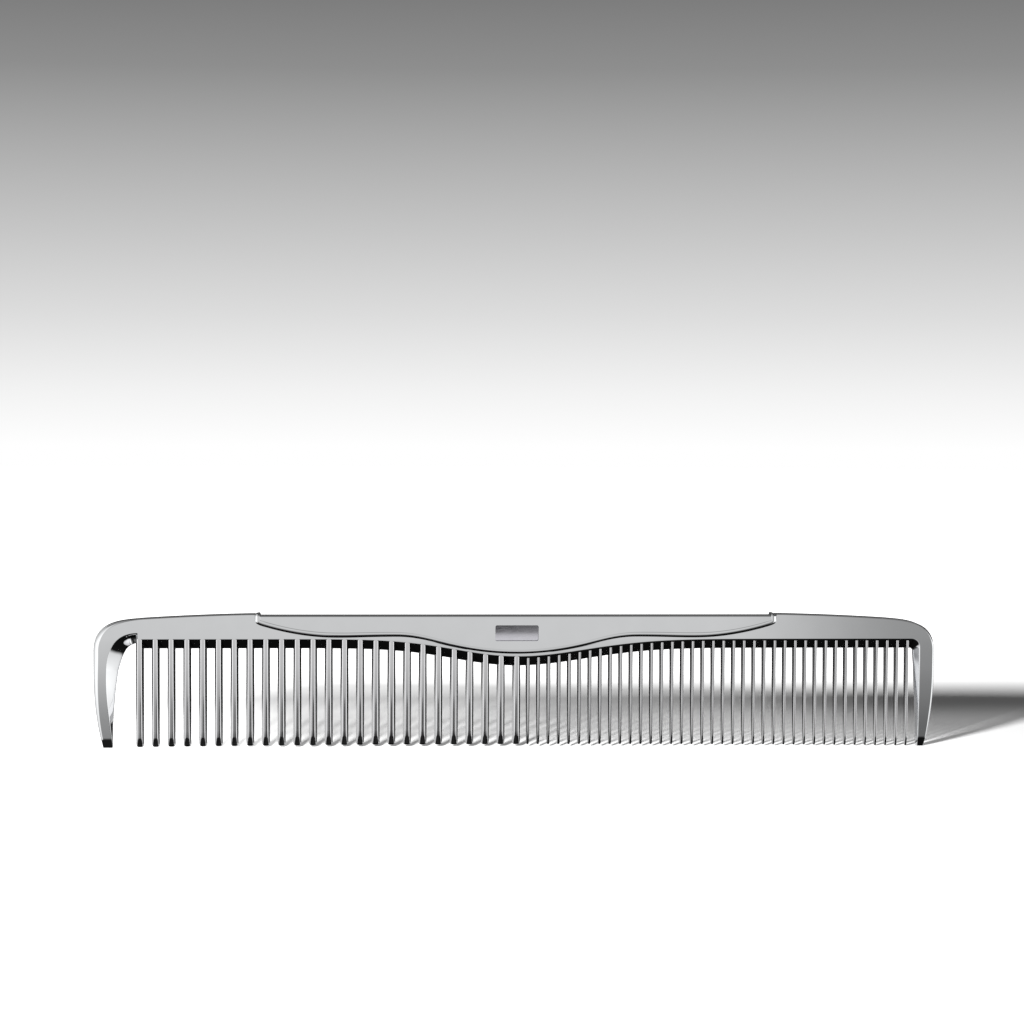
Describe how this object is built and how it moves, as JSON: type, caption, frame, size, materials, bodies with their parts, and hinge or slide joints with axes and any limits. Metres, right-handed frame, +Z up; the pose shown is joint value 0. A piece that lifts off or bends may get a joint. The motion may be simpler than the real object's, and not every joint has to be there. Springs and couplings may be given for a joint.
{
  "type": "pet grooming comb",
  "caption": "Polished steel grooming comb with coarse and fine teeth, end guards and a beaded saddle over the bar.",
  "frame": {"origin": "bottom centre: between the two guard feet, at the height they stand on", "axes": "+Z up from the tips to the bar, +X along the bar from the coarse end to the fine end, -Y out of the front face with the window"},
  "size_m": [0.19, 0.0052, 0.0304],
  "materials": {
    "frame_steel": "mirror polished",
    "saddle_steel": "mirror polished",
    "tooth_steel": "polished",
    "plate_metal": "satin, blank"
  },
  "bodies": {
    "root": {"spine_frame": "frame_steel", "saddle_cover": "saddle_steel", "name_plate": "plate_metal", "coarse_tooth_01": "tooth_steel", "coarse_tooth_02": "tooth_steel", "coarse_tooth_03": "tooth_steel", "coarse_tooth_04": "tooth_steel", "coarse_tooth_05": "tooth_steel", "coarse_tooth_06": "tooth_steel", "coarse_tooth_07": "tooth_steel", "coarse_tooth_08": "tooth_steel", "coarse_tooth_09": "tooth_steel", "coarse_tooth_10": "tooth_steel", "coarse_tooth_11": "tooth_steel", "coarse_tooth_12": "tooth_steel", "coarse_tooth_13": "tooth_steel", "coarse_tooth_14": "tooth_steel", "coarse_tooth_15": "tooth_steel", "coarse_tooth_16": "tooth_steel", "coarse_tooth_17": "tooth_steel", "coarse_tooth_18": "tooth_steel", "coarse_tooth_19": "tooth_steel", "coarse_tooth_20": "tooth_steel", "coarse_tooth_21": "tooth_steel", "coarse_tooth_22": "tooth_steel", "coarse_tooth_23": "tooth_steel", "coarse_tooth_24": "tooth_steel", "coarse_tooth_25": "tooth_steel", "fine_tooth_pair_01": "tooth_steel", "fine_tooth_pair_02": "tooth_steel", "fine_tooth_pair_03": "tooth_steel", "fine_tooth_pair_04": "tooth_steel", "fine_tooth_pair_05": "tooth_steel", "fine_tooth_pair_06": "tooth_steel", "fine_tooth_pair_07": "tooth_steel", "fine_tooth_pair_08": "tooth_steel", "fine_tooth_pair_09": "tooth_steel", "fine_tooth_pair_10": "tooth_steel", "fine_tooth_pair_11": "tooth_steel", "fine_tooth_pair_12": "tooth_steel", "fine_tooth_pair_13": "tooth_steel", "fine_tooth_pair_14": "tooth_steel", "fine_tooth_pair_15": "tooth_steel", "fine_tooth_pair_16": "tooth_steel", "fine_tooth_pair_17": "tooth_steel", "fine_tooth_pair_18": "tooth_steel", "fine_tooth_pair_19": "tooth_steel"}
  },
  "joints": []
}
